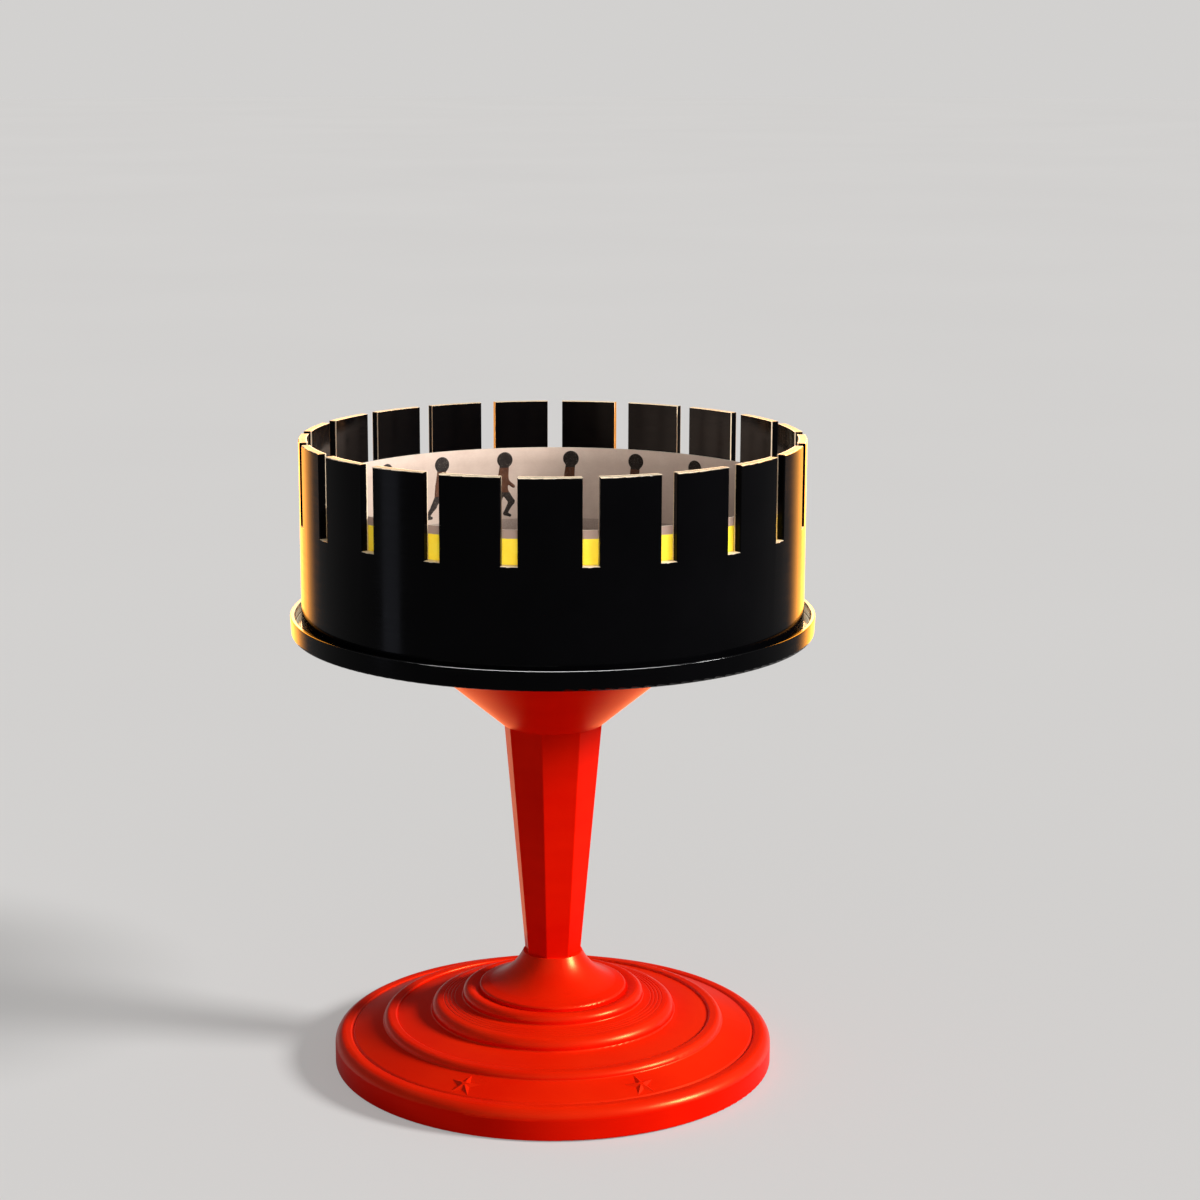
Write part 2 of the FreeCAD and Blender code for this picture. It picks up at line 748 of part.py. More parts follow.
def make_drum_screws():
    screw = pan_screw(drum_screw_radius, drum_screw_length, drum_screw_head_radius,
                      drum_screw_head_height, drum_floor_top)
    screws = [moved(screw, drum_screw_circle, angle) for angle in drum_screw_places()]
    return Part.makeCompound(screws)


# ---------------------------------------------------------------- picture strip
def make_picture_strip():
    inner = strip_outer_radius - strip_thickness
    top = strip_bottom + strip_height
    strip = ring(inner, strip_outer_radius, strip_bottom, top)
    lap = Part.Face(outline([
        (inner - strip_thickness, strip_bottom), (inner, strip_bottom),
        (inner, top), (inner - strip_thickness, top)]))
    lap = lap.revolve(Vector(0, 0, 0), Vector(0, 0, 1), strip_overlap_deg)
    lap.rotate(Vector(0, 0, 0), Vector(0, 0, 1), strip_seam_turn - 90 - strip_overlap_deg / 2)
    return strip.fuse(lap).removeSplitter()


# ---------------------------------------------------------------- all parts
lock_washer_top = nut_seat - washer_thickness
parts = {
    "base": make_base(),
    "rubber_feet": make_rubber_feet(),
    "column": make_column(),
    "stand_head": make_stand_head(),
    "central_rod": make_central_rod(),
    "base_washer": washer(base_washer_radius, nut_seat - washer_thickness),
    "base_lock_washer": make_base_lock_washer(),
    "base_nut": hex_nut(lock_washer_top - washer_thickness - nut_thickness, nut_thickness,
                        rod_radius + thread_gap),
    "head_washer": washer(head_washer_radius, head_boss_top),
    "head_nut": hex_nut(head_nut_bottom, nut_thickness, rod_radius + thread_gap),
    "thrust_washer": washer(thrust_washer_radius, head_nut_top),
    "top_washer": washer(top_washer_radius, top_washer_bottom),
    "jam_nut": hex_nut(jam_nut_bottom, jam_nut_thickness, rod_radius + thread_gap),
    "cap_nut": make_cap_nut(),
    "turntable": make_turntable(),
    "bearing_bush": make_bearing_bush(),
    "bush_screws": make_bush_screws(),
    "slotted_drum": make_slotted_drum(),
    "drum_screws": make_drum_screws(),
    "picture_strip": make_picture_strip(),
}

os.makedirs("parts", exist_ok=True)
for name, shape in parts.items():
    shape.exportStep("parts/" + name + ".step")
    print(name, len(shape.Solids), "solid(s)", round(shape.Volume / 1000, 2), "cm3", shape.isValid())
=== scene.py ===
import json
import math

import bmesh
import bpy
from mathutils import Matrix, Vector


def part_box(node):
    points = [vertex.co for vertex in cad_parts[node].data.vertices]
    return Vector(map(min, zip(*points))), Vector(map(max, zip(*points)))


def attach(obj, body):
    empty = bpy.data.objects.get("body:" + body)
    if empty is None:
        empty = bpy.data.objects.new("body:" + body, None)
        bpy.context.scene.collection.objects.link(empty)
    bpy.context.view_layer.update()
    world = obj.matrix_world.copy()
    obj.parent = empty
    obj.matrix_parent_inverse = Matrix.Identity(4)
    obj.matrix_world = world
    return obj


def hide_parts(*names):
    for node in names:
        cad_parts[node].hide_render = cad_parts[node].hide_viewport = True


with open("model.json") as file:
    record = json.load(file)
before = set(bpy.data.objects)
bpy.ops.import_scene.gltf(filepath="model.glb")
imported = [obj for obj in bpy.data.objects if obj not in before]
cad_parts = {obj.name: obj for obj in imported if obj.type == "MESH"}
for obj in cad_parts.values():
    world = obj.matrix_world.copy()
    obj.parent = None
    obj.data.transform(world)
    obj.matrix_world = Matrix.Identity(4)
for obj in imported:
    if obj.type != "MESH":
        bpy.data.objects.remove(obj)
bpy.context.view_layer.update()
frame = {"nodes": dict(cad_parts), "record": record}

nodes = frame["nodes"]
MM = 0.001

# ---------------------------------------------------------------- places taken from the frame
strip_low, strip_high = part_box("picture_strip")
drum_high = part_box("slotted_drum")[1]
STRIP_RADIUS = strip_high.x      # outside of the strip
STRIP_BOTTOM = strip_low.z
STRIP_HEIGHT = strip_high.z - strip_low.z
DRUM_RADIUS = drum_high.x
RIM_TOP = drum_high.z

# ---------------------------------------------------------------- sizes that the frame doesn't give
STRIP_GAP = 0.4 * MM             # between the strip and the drum's wall
WALL_INSIDE = STRIP_RADIUS + STRIP_GAP
STRIP_THICKNESS = 0.5 * MM
CUT_EDGE = 0.04 * MM             # rounding of the strip's cut edges
STRIP_LEAN = 0.06 * MM           # the most that the strip stands in from its full radius
SEAM_TURN = -6.5                 # where the strip starts: its seam is behind the wall at the front
SEAM_OVERLAP = 6.0
SEAM_STEP = 4.0                  # angle over which the strip's end slips inside its start
MARGIN = 2.9 * MM                # unprinted top edge of the strip's outside
GROUND = 19.6 * MM               # line that the printed figures stand on, above the strip's foot
PICTURES = 21                    # one picture for each slot
FAR_PICTURE = 176.0              # angle of the picture opposite the front
STEPS_WALKED = 2                 # double steps in one turn of the drum
FIGURE_SCALE = 0.83              # size of a figure beside the millimetres that it is drawn in
INK_PROUD = 0.03 * MM            # ink above the card
INK_SUNK = 0.02 * MM             # and in it


def at(radius, angle, z):
    """Point at an angle from the front, in degrees, turning towards +X."""
    turn = math.radians(angle)
    return Vector((radius * math.sin(turn), -radius * math.cos(turn), z))


# ---------------------------------------------------------------- node materials
class Surface:
    """A procedural material, built one node at a time round a Principled shader."""

    def __init__(self, name, **settings):
        self.material = bpy.data.materials.new(name)
        self.material.use_nodes = True
        self.tree = self.material.node_tree
        self.tree.nodes.clear()
        self.shader = self.tree.nodes.new("ShaderNodeBsdfPrincipled")
        output = self.tree.nodes.new("ShaderNodeOutputMaterial")
        self.tree.links.new(self.shader.outputs["BSDF"], output.inputs["Surface"])
        for socket, value in settings.items():
            self.shader.inputs[socket.replace("_", " ")].default_value = value
        coordinates = self.tree.nodes.new("ShaderNodeTexCoord")
        self.place = coordinates.outputs["Object"]
        self.normal = coordinates.outputs["Normal"]

    def put(self, socket, value):
        """Links a node's output to the socket, or writes a plain value into it."""
        if isinstance(value, bpy.types.NodeSocket):
            self.tree.links.new(value, socket)
        else:
            socket.default_value = value

    def math(self, operation, *values):
        node = self.tree.nodes.new("ShaderNodeMath")
        node.operation = operation
        for index, value in enumerate(values):
            self.put(node.inputs[index], value)
        return node.outputs[0]

    def scaled(self, vector, factors):
        node = self.tree.nodes.new("ShaderNodeVectorMath")
        node.operation = "MULTIPLY"
        self.put(node.inputs[0], vector)
        self.put(node.inputs[1], factors)
        return node.outputs[0]

    def split(self, vector):
        node = self.tree.nodes.new("ShaderNodeSeparateXYZ")
        self.put(node.inputs[0], vector)
        return node.outputs

    def joined(self, x, y, z):
        node = self.tree.nodes.new("ShaderNodeCombineXYZ")
        for index, value in enumerate((x, y, z)):
            self.put(node.inputs[index], value)
        return node.outputs[0]

    def noise(self, vector, scale, detail=3.0, roughness=0.5):
        node = self.tree.nodes.new("ShaderNodeTexNoise")
        self.put(node.inputs["Vector"], vector)
        node.inputs["Scale"].default_value = scale
        node.inputs["Detail"].default_value = detail
        node.inputs["Roughness"].default_value = roughness
        return node.outputs["Fac"]

    def span(self, value, low, high, to_low=0.0, to_high=1.0):
        """Maps low..high onto to_low..to_high and holds the ends."""
        node = self.tree.nodes.new("ShaderNodeMapRange")
        self.put(node.inputs["Value"], value)
        for name, number in (("From Min", low), ("From Max", high),
                             ("To Min", to_low), ("To Max", to_high)):
            node.inputs[name].default_value = number
        return node.outputs["Result"]

    def mix(self, share, low, high):
        """Mixes two colours."""
        node = self.tree.nodes.new("ShaderNodeMix")
        node.data_type = "RGBA"
        self.put(node.inputs[0], share)
        for socket, colour in ((node.inputs[6], low), (node.inputs[7], high)):
            self.put(socket, (*colour, 1.0) if isinstance(colour, tuple) else colour)
        return node.outputs[2]

    def bump(self, *layers):
        """Layers of (height, distance in metres, strength), one on top of the other."""
        normal = None
        for height, distance, strength in layers:
            node = self.tree.nodes.new("ShaderNodeBump")
            node.inputs["Distance"].default_value = distance
            node.inputs["Strength"].default_value = strength
            self.put(node.inputs["Height"], height)
            if normal is not None:
                self.put(node.inputs["Normal"], normal)
            normal = node.outputs["Normal"]
        self.put(self.shader.inputs["Normal"], normal)

    def radius(self):
        """Distance from the axis."""
        x, y, _ = self.split(self.place)
        return self.math("SQRT", self.math("ADD", self.math("MULTIPLY", x, x),
                                           self.math("MULTIPLY", y, y)))

    def turned_place(self, along, across):
        """Coordinates for fine lines that run round the axis, on walls and on flat faces."""
        x, y, z = self.split(self.place)
        height = self.math("MULTIPLY", self.math("ADD", z, self.radius()), across)
        return self.joined(self.math("MULTIPLY", x, along), self.math("MULTIPLY", y, along), height)


def red_plastic():
    """Satin red, with a fuller gloss on the rounded edges of the steps than on what is flat. Faces
    that point up are painted a lighter, more orange red than the walls, as painted light from above.
    """
    s = Surface("moulded_red", Specular_Tint=(1.0, 0.42, 0.10, 1.0))
    steepness = s.split(s.normal)[2]
    rounded = s.math("MULTIPLY", s.span(steepness, 0.12, 0.35),
                     s.span(steepness, 0.84, 0.94, 1.0, 0.0))
    s.put(s.shader.inputs["Specular IOR Level"], s.span(rounded, 0.0, 1.0, 0.03, 0.75))
    cloud = s.noise(s.place, 28.0, 4.0)
    flow = s.noise(s.turned_place(9.0, 120.0), 1.0, 2.0)
    tone = s.math("MULTIPLY_ADD", flow, 0.35, s.math("MULTIPLY", cloud, 0.65))
    tone = s.span(tone, 0.35, 0.65)
    # painted light: the walls get the shaded red, and faces that point up a lighter, more orange red
    # that stands in for light from above
    walls = s.mix(tone, (0.84, 0.0050, 0.0004), (0.94, 0.0100, 0.0008))
    painted_lit_tops = s.mix(tone, (0.88, 0.0125, 0.0010), (0.97, 0.0235, 0.0020))
    s.put(s.shader.inputs["Base Color"], s.mix(s.span(steepness, 0.1, 0.9), walls, painted_lit_tops))
    s.put(s.shader.inputs["Roughness"], s.span(cloud, 0.3, 0.7, 0.27, 0.34))
    skin = s.noise(s.place, 2600.0, 2.0)
    ripple = s.noise(s.place, 160.0, 2.0)
    s.bump((ripple, 0.06 * MM, 0.25), (skin, 0.01 * MM, 0.5))
    return s.material


def black_plastic():
    """Polished black. Pale highlights are painted along the rim's two corners, the slots' inner
    corners and their sills. The rim's outer corner and the turntable's lip have a fuller gloss than
    the walls, and the drum's inside is between the two."""
    s = Surface("polished_black")
    highlight_width_inside = 0.50 * MM        # width of the painted highlight line at the wall's inner corners
    highlight_width_outside = 0.45 * MM       # and at the rim's outer corner
    fade = 0.15 * MM                 # over which such a line ends
    lip_starts = 0.6 * MM            # past the drum, everything that faces up is the turntable
    sill_drop = 2.0 * MM             # all sills are further than this below the rim

    nx, ny, nz = s.split(s.normal)
    x, y, z = s.split(s.place)
    radius = s.radius()
    outward = s.math("DIVIDE", s.math("ADD", s.math("MULTIPLY", x, nx), s.math("MULTIPLY", y, ny)),
                     radius)
    square_on = s.math("ABSOLUTE", outward)
    faces_up = s.span(nz, -0.25, -0.05)
    # uneven edges for the painted highlight lines
    highlight_wobble = s.math("MULTIPLY", s.noise(s.place, 900.0, 3.0), 0.25 * MM)
    inner_corner = s.span(s.math("ADD", radius, highlight_wobble), WALL_INSIDE + highlight_width_inside,
                          WALL_INSIDE + highlight_width_inside + fade, 1.0, 0.0)
    outer_corner = s.span(s.math("SUBTRACT", radius, highlight_wobble), DRUM_RADIUS - highlight_width_outside - fade,
                          DRUM_RADIUS - highlight_width_outside)
    outer_corner = s.math("MULTIPLY", outer_corner, s.span(nz, 0.2, 0.6))
    past_inside = s.span(radius, WALL_INSIDE - 0.2 * MM, WALL_INSIDE)
    short_of_lip = s.span(radius, DRUM_RADIUS + lip_starts - 0.4 * MM,
                          DRUM_RADIUS + lip_starts - 0.2 * MM, 1.0, 0.0)
    in_the_wall = s.math("MULTIPLY", s.math("MULTIPLY", past_inside, short_of_lip), faces_up)
    sill = s.math("MULTIPLY", s.span(nz, 0.55, 0.8),
                  s.span(z, RIM_TOP - sill_drop - 1.0 * MM, RIM_TOP - sill_drop, 1.0, 0.0))
    corner = s.math("MAXIMUM", sill, s.math("MAXIMUM", inner_corner, outer_corner))
    # painted highlight: pale lines at the corners and sills that stand in for light catching them
    painted_highlight = s.math("MULTIPLY", s.math("MULTIPLY", corner, in_the_wall),
                    s.span(square_on, 0.6, 0.95, 1.0, 0.0))
    lip = s.math("MULTIPLY", faces_up,
                 s.span(radius, DRUM_RADIUS + lip_starts, DRUM_RADIUS + lip_starts + 0.2 * MM))
    glossy = s.math("MAXIMUM", lip, s.math("MULTIPLY", outer_corner, in_the_wall))
    glossy = s.math("MULTIPLY", glossy, s.span(square_on, 0.80, 0.98, 1.0, 0.0))
    inside = s.span(outward, -0.9, -0.6, 0.35, 0.0)
    s.put(s.shader.inputs["Specular IOR Level"],
          s.math("MAXIMUM", s.span(glossy, 0.0, 1.0, 0.03, 0.65), inside))

    streak = s.noise(s.turned_place(14.0, 1400.0), 1.0, 3.0, 0.6)
    cloud = s.noise(s.place, 35.0, 4.0)
    walls = s.mix(s.span(cloud, 0.3, 0.7), (0.0010, 0.0010, 0.0013), (0.0020, 0.0019, 0.0024))
    # the cream colour is the painted highlight
    s.put(s.shader.inputs["Base Color"], s.mix(painted_highlight, walls, (0.95, 0.77, 0.55)))
    polish = s.math("MULTIPLY_ADD", streak, 0.55, s.math("MULTIPLY", cloud, 0.45))
    s.put(s.shader.inputs["Roughness"], s.span(polish, 0.35, 0.68, 0.09, 0.20))
    s.bump((cloud, 0.10 * MM, 0.12), (streak, 0.006 * MM, 0.35))
    return s.material


def plated_steel():
    """Zinc plate on turned and pressed steel."""
    s = Surface("zinc_plate", Metallic=1.0)
    grain = s.noise(s.turned_place(60.0, 2600.0), 1.0, 2.0)
    cloud = s.noise(s.place, 300.0, 3.0)
    s.put(s.shader.inputs["Base Color"],
          s.mix(s.span(cloud, 0.35, 0.65), (0.50, 0.51, 0.53), (0.66, 0.66, 0.65)))
    s.put(s.shader.inputs["Roughness"], s.span(grain, 0.3, 0.7, 0.2, 0.36))
    s.bump((grain, 0.01 * MM, 0.4))
    return s.material


def natural_nylon():
    """Unpainted nylon, which lets a little light in."""
    s = Surface("natural_nylon", Specular_IOR_Level=0.4, Subsurface_Weight=0.2,
                Subsurface_Scale=1.0 * MM)
    cloud = s.noise(s.place, 500.0, 3.0)
    s.put(s.shader.inputs["Base Color"],
          s.mix(s.span(cloud, 0.35, 0.65), (0.78, 0.76, 0.68), (0.86, 0.84, 0.78)))
    s.put(s.shader.inputs["Roughness"], s.span(cloud, 0.3, 0.7, 0.42, 0.55))
    s.bump((s.noise(s.place, 3000.0, 2.0), 0.01 * MM, 0.4))
    return s.material


def turned_brass():
    """Brass with turning lines and a little tarnish."""
    s = Surface("turned_brass", Metallic=1.0)
    rings = s.noise(s.turned_place(20.0, 3800.0), 1.0, 2.0)
    tarnish = s.noise(s.place, 260.0, 4.0)
    s.put(s.shader.inputs["Base Color"],
          s.mix(s.span(tarnish, 0.4, 0.7), (0.80, 0.58, 0.23), (0.52, 0.34, 0.13)))
    s.put(s.shader.inputs["Roughness"], s.span(tarnish, 0.3, 0.7, 0.2, 0.38))
    s.bump((rings, 0.01 * MM, 0.6))
    return s.material


def black_rubber():
    """Matt rubber with dust on it."""
    s = Surface("matt_rubber", Specular_IOR_Level=0.3)
    grain = s.noise(s.place, 1800.0, 3.0)
    dust = s.noise(s.place, 120.0, 4.0)
    s.put(s.shader.inputs["Base Color"],
          s.mix(s.span(dust, 0.45, 0.75), (0.018, 0.018, 0.018), (0.055, 0.052, 0.050)))
    s.put(s.shader.inputs["Roughness"], s.span(grain, 0.3, 0.7, 0.75, 0.92))
    s.bump((grain, 0.03 * MM, 0.6))
    return s.material


def paper(name, dark, light, **settings):
    """Matt card with short fibres and a little mottling. Returns the surface, and its colour for the
    caller to put in or to print on."""
    s = Surface(name, Specular_IOR_Level=0.25, **settings)
    mottle = s.noise(s.place, 180.0, 4.0, 0.6)
    fibre = s.noise(s.scaled(s.place, (900.0, 900.0, 2600.0)), 1.0, 3.0, 0.7)
    tone = s.math("MULTIPLY_ADD", fibre, 0.4, s.math("MULTIPLY", mottle, 0.6))
    colour = s.mix(s.span(tone, 0.35, 0.65), dark, light)
    s.put(s.shader.inputs["Roughness"], s.span(fibre, 0.3, 0.7, 0.62, 0.78))
    s.bump((fibre, 0.02 * MM, 0.5), (mottle, 0.05 * MM, 0.3))
    return s, colour


def yellow_card():
    """The strip's outer side: yellow, with an unprinted margin along its top edge."""
    s, yellow = paper("yellow_card", (0.98, 0.65, 0.02), (1.0, 0.73, 0.05), Subsurface_Weight=0.2,
                      Subsurface_Scale=0.3 * MM, Subsurface_Radius=(1.0, 0.7, 0.2))
    wobble = s.math("MULTIPLY", s.noise(s.place, 700.0, 3.0), 0.2 * MM)
    height = s.math("ADD", s.split(s.place)[2], wobble)
    edge = STRIP_BOTTOM + STRIP_HEIGHT - MARGIN
    margin = s.span(height, edge, edge + 0.1 * MM)
    s.put(s.shader.inputs["Base Color"], s.mix(margin, yellow, (0.34, 0.23, 0.18)))
    return s.material


def raw_card():
    """The strip's cut edges."""
    s, colour = paper("raw_card", (0.62, 0.54, 0.42), (0.74, 0.66, 0.54))
    s.put(s.shader.inputs["Base Color"], colour)
    return s.material


def printed_card():
    """The strip's inner side: warm white, with a printed strip of ground for the figures."""
    s, white = paper("printed_card", (0.55, 0.41, 0.33), (0.62, 0.48, 0.39))
    ground_edge = GROUND - 0.8 * MM  # the figures' feet stand a little above the printed ground
    blur = 0.06 * MM
    z = s.split(s.place)[2]
    wobble = s.math("MULTIPLY", s.math("SUBTRACT", s.noise(s.place, 700.0, 3.0), 0.5), 0.25 * MM)
    height = s.math("ADD", s.math("SUBTRACT", z, STRIP_BOTTOM), wobble)
    ground = s.span(height, ground_edge - blur, ground_edge + blur, 1.0, 0.0)
    stipple = s.span(s.noise(s.place, 2300.0, 2.0), 0.38, 0.62)
    near = s.mix(stipple, (0.28, 0.19, 0.15), (0.36, 0.26, 0.21))
    far = s.mix(stipple, (0.38, 0.28, 0.23), (0.44, 0.34, 0.28))
    depth = s.span(height, 0.0, GROUND)
    s.put(s.shader.inputs["Base Color"], s.mix(ground, white, s.mix(depth, near, far)))
    return s.material


def printing_ink():
    """Dark ink with a brown coat between the figure's hem and its neck, and specks of bare card."""
    s = Surface("printing_ink", Specular_IOR_Level=0.3)
    hem = 9.6 * MM                   # above the ground line
    neck = 19.2 * MM
    blur = 0.2 * MM
    cloud = s.noise(s.place, 420.0, 4.0, 0.6)
    speck = s.span(s.noise(s.place, 3500.0, 2.0), 0.60, 0.68)
    solid = s.mix(s.span(cloud, 0.35, 0.65), (0.018, 0.012, 0.010), (0.040, 0.028, 0.022))
    coat = s.mix(s.span(cloud, 0.35, 0.65), (0.100, 0.034, 0.016), (0.150, 0.055, 0.026))
    height = s.math("SUBTRACT", s.split(s.place)[2], STRIP_BOTTOM + GROUND)
    above_hem = s.span(height, hem, hem + blur)
    below_neck = s.span(height, neck, neck + blur, 1.0, 0.0)
    dressed = s.mix(s.math("MULTIPLY", above_hem, below_neck), solid, coat)
    s.put(s.shader.inputs["Base Color"],
          s.mix(s.math("MULTIPLY", speck, 0.5), dressed, (0.30, 0.25, 0.21)))
    s.put(s.shader.inputs["Roughness"], s.span(cloud, 0.3, 0.7, 0.5, 0.66))
    s.bump((s.noise(s.place, 1800.0, 3.0), 0.01 * MM, 0.5))
    return s.material


FINISHES = {
    "stand_red": red_plastic(), "drum_black": black_plastic(), "steel": plated_steel(),
    "nylon": natural_nylon(), "brass": turned_brass(), "rubber": black_rubber(),
}
slot_of = {part["node"]: part["material_slot"] for part in frame["record"]["subparts"]}
for name, node in nodes.items():
    if slot_of[name] in FINISHES:
        for material_slot in node.material_slots:
            material_slot.material = FINISHES[slot_of[name]]


# ---------------------------------------------------------------- meshes
def piece(name, mesh_data, body, slot, *materials):
    """A new object that rides on a body and takes the materials given to it. Its slot is not used.
    """
    mesh_data.update()
    new = bpy.data.objects.new(name, mesh_data)
    bpy.context.scene.collection.objects.link(new)
    for material in materials:
        mesh_data.materials.append(material)
    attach(new, body)
    return new


def smoothstep(value):
    value = min(max(value, 0.0), 1.0)
    return value * value * (3.0 - 2.0 * value)


# ---------------------------------------------------------------- picture strip
def strip_offset(angle):
    """How far the strip's outside has moved in from its full radius, at an angle along it. Its last
    few degrees lie inside its first ones, and it leans by a few hundredths like any card ring."""
    waves = 3
    lean = STRIP_LEAN * (1.0 + math.sin(math.radians(waves * angle) + 0.7)) / 2
    lap = smoothstep((angle - 360.0 + SEAM_STEP) / SEAM_STEP) * STRIP_THICKNESS
    return lean + lap


def strip_inside(angle):
    """Radius of the printed side at an angle from the front."""
    along = (angle - SEAM_TURN) % 360.0
    if along < SEAM_OVERLAP:
        along += 360.0
    return STRIP_RADIUS - strip_offset(along) - STRIP_THICKNESS


def strip_section(outer, rows):
    """Outline of the cut card as (radius, height): up its outside, over its top edge, down its
    inside and back under its bottom edge."""
    inner = outer - STRIP_THICKNESS
    top = STRIP_BOTTOM + STRIP_HEIGHT
    side = STRIP_HEIGHT - 2 * CUT_EDGE
    heights = [STRIP_BOTTOM + CUT_EDGE + side * row / rows for row in range(rows + 1)]
    return ([(outer, z) for z in heights]
            + [(outer - CUT_EDGE, top), (inner + CUT_EDGE, top)]
            + [(inner, z) for z in reversed(heights)]
            + [(inner + CUT_EDGE, STRIP_BOTTOM), (outer - CUT_EDGE, STRIP_BOTTOM)])


def make_strip():
    """A band of card with real thickness. Its ends overlap and are pasted."""
    bm = bmesh.new()
    steps = 24 * PICTURES            # columns along the strip
    rows = 8                         # faces up each side
    outside, inside, cut = 0, 1, 2   # material slots
    columns = []
    for step in range(steps + 1):
        angle = (360.0 + SEAM_OVERLAP) * step / steps
        section = strip_section(STRIP_RADIUS - strip_offset(angle), rows)
        columns.append([bm.verts.new(at(r, SEAM_TURN + angle, z)) for r, z in section])
    around = len(columns[0])
    inner_top = rows + 3             # first point of the inside
    inner_foot = 2 * rows + 3        # and its last
    for left, right in zip(columns, columns[1:]):
        for index in range(around):
            after = (index + 1) % around
            face = bm.faces.new((left[index], right[index], right[after], left[after]))
            face.smooth = True
            if index < rows:
                face.material_index = outside
            elif inner_top <= index < inner_foot:
                face.material_index = inside
            else:
                face.material_index = cut
    for column, flip in ((columns[0], False), (columns[-1], True)):
        quads = [(row, row + 1, inner_foot - row - 1, inner_foot - row) for row in range(rows)]
        quads.append((rows, rows + 1, rows + 2, inner_top))
        quads.append((0, inner_foot, inner_foot + 1, inner_foot + 2))
        for quad in quads:
            corners = [column[index] for index in quad]
            face = bm.faces.new(corners if flip else corners[::-1])
            face.material_index = cut
    bmesh.ops.recalc_face_normals(bm, faces=bm.faces)
    data = bpy.data.meshes.new("picture_card")
    bm.to_mesh(data)
    bm.free()
    return data


strip = piece("picture_card", make_strip(), "strip", "card",
              yellow_card(), printed_card(), raw_card())
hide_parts("picture_strip")


# ---------------------------------------------------------------- printed figures
# A plain walking figure, in millimetres from the middle of the ground line, before FIGURE_SCALE.
HIP_HEIGHT = 13.6
HIP_BOB = 0.5                    # the hip rises and falls by this, twice in a double step
NECK_FORWARD = 0.9
TORSO = 9.0                      # hip to neck
HEAD_FORWARD = 1.3
HEAD_ABOVE_HIP = 13.2
HEAD_RADIUS = 3.7
SHOULDER_DROP = 1.2              # below the neck
THIGH = 6.8
SHIN = 6.4
FOOT = 2.6
UPPER_ARM = 4.6
FOREARM = 4.2
STRIDE = 30.0                    # swing of a leg, each way
KNEE_BEND = 10.0                 # least bend of the knee
ELBOW_BEND = 35.0

# The grid that a figure is cut from, in the same millimetres.
CELL = 0.42
HALF_WIDTH = 10.5
TALL = 32.0


def limb(x, y, start, end, wide, narrow):
    """Distance from a point to a tapered limb, less than zero inside it."""
    ax, ay = start
    bx, by = end
    dx, dy = bx - ax, by - ay
    share = ((x - ax) * dx + (y - ay) * dy) / max(dx * dx + dy * dy, 1e-9)
    share = min(max(share, 0.0), 1.0)
    radius = wide + (narrow - wide) * share
    return math.hypot(x - ax - dx * share, y - ay - dy * share) - radius


def blended(distances, softness=0.7):
    """Smooth union of several distances."""
    result = distances[0]
    for other in distances[1:]:
        share = min(max(0.5 + 0.5 * (result - other) / softness, 0.0), 1.0)
        result = result + (other - result) * share - softness * share * (1.0 - share)
    return result


def figure_limbs(phase):
    """The figure at a share of its double step: each limb's start, its end, and its radius there."""
    swing = math.sin(2 * math.pi * phase)
    hip = (0.0, HIP_HEIGHT + HIP_BOB * math.cos(4 * math.pi * phase))
    neck = (NECK_FORWARD, hip[1] + TORSO)
    head = (HEAD_FORWARD, hip[1] + HEAD_ABOVE_HIP)
    shoulder = (neck[0], neck[1] - SHOULDER_DROP)
    limbs = [(hip, neck, 2.7, 2.3), (neck, head, 1.3, 1.3), (head, head, HEAD_RADIUS, HEAD_RADIUS)]
    for side in (-1.0, 1.0):
        stride = math.radians(STRIDE) * side * swing
        lift = max(0.0, side * math.cos(2 * math.pi * phase))
        knee = (hip[0] + THIGH * math.sin(stride + 0.5 * lift), hip[1] - THIGH * math.cos(stride))
        shin = stride - math.radians(KNEE_BEND) - 0.75 * lift
        ankle = (knee[0] + SHIN * math.sin(shin), knee[1] - SHIN * math.cos(shin))
        heel_up = 0.6 * lift
        toe = (ankle[0] + FOOT * math.cos(heel_up), ankle[1] - 0.2 - 1.6 * math.sin(heel_up))
        arm = -0.9 * stride
        elbow = (shoulder[0] + UPPER_ARM * math.sin(arm), shoulder[1] - UPPER_ARM * math.cos(arm))
        bend = arm + math.radians(ELBOW_BEND)
        hand = (elbow[0] + FOREARM * math.sin(bend), elbow[1] - FOREARM * math.cos(bend))
        limbs += [(hip, knee, 1.9, 1.45), (knee, ankle, 1.35, 0.9), (ankle, toe, 0.85, 0.7),
                  (shoulder, elbow, 1.15, 1.0), (elbow, hand, 0.95, 0.8)]
    return limbs


def inked_cells(distance):
    """Squares of the grid that lie in the figure, each as the grid places of its corners."""
    columns = int(2 * HALF_WIDTH / CELL)
    rows = int(TALL / CELL)
    depth = {}
    for i in range(columns + 1):
        for j in range(rows + 1):
            depth[i, j] = distance(i * CELL - HALF_WIDTH, j * CELL)
    cells = []
    for i in range(columns):
        for j in range(rows):
            corners = ((i, j), (i + 1, j), (i + 1, j + 1), (i, j + 1))
            if sum(depth[corner] for corner in corners) / 4 < 0.0:
                cells.append(corners)
    return cells


def drawn_corners(cells, distance):
    """Where each corner of the squares is drawn: one on the edge moves onto the true outline."""
    uses = {}
    for corners in cells:
        for corner in corners:
            uses[corner] = uses.get(corner, 0) + 1
    step = 0.02
    least_slope = 0.3
    places = {}
    for corner, count in uses.items():
        x, y = corner[0] * CELL - HALF_WIDTH, corner[1] * CELL
        if count < 4:
            for _ in range(3):
                d = distance(x, y)
                gx = (distance(x + step, y) - distance(x - step, y)) / (2 * step)
                gy = (distance(x, y + step) - distance(x, y - step)) / (2 * step)
                slope = max(math.hypot(gx, gy), least_slope)
                x, y = x - d * gx / slope ** 2, y - d * gy / slope ** 2
        places[corner] = (x, y)
    return places


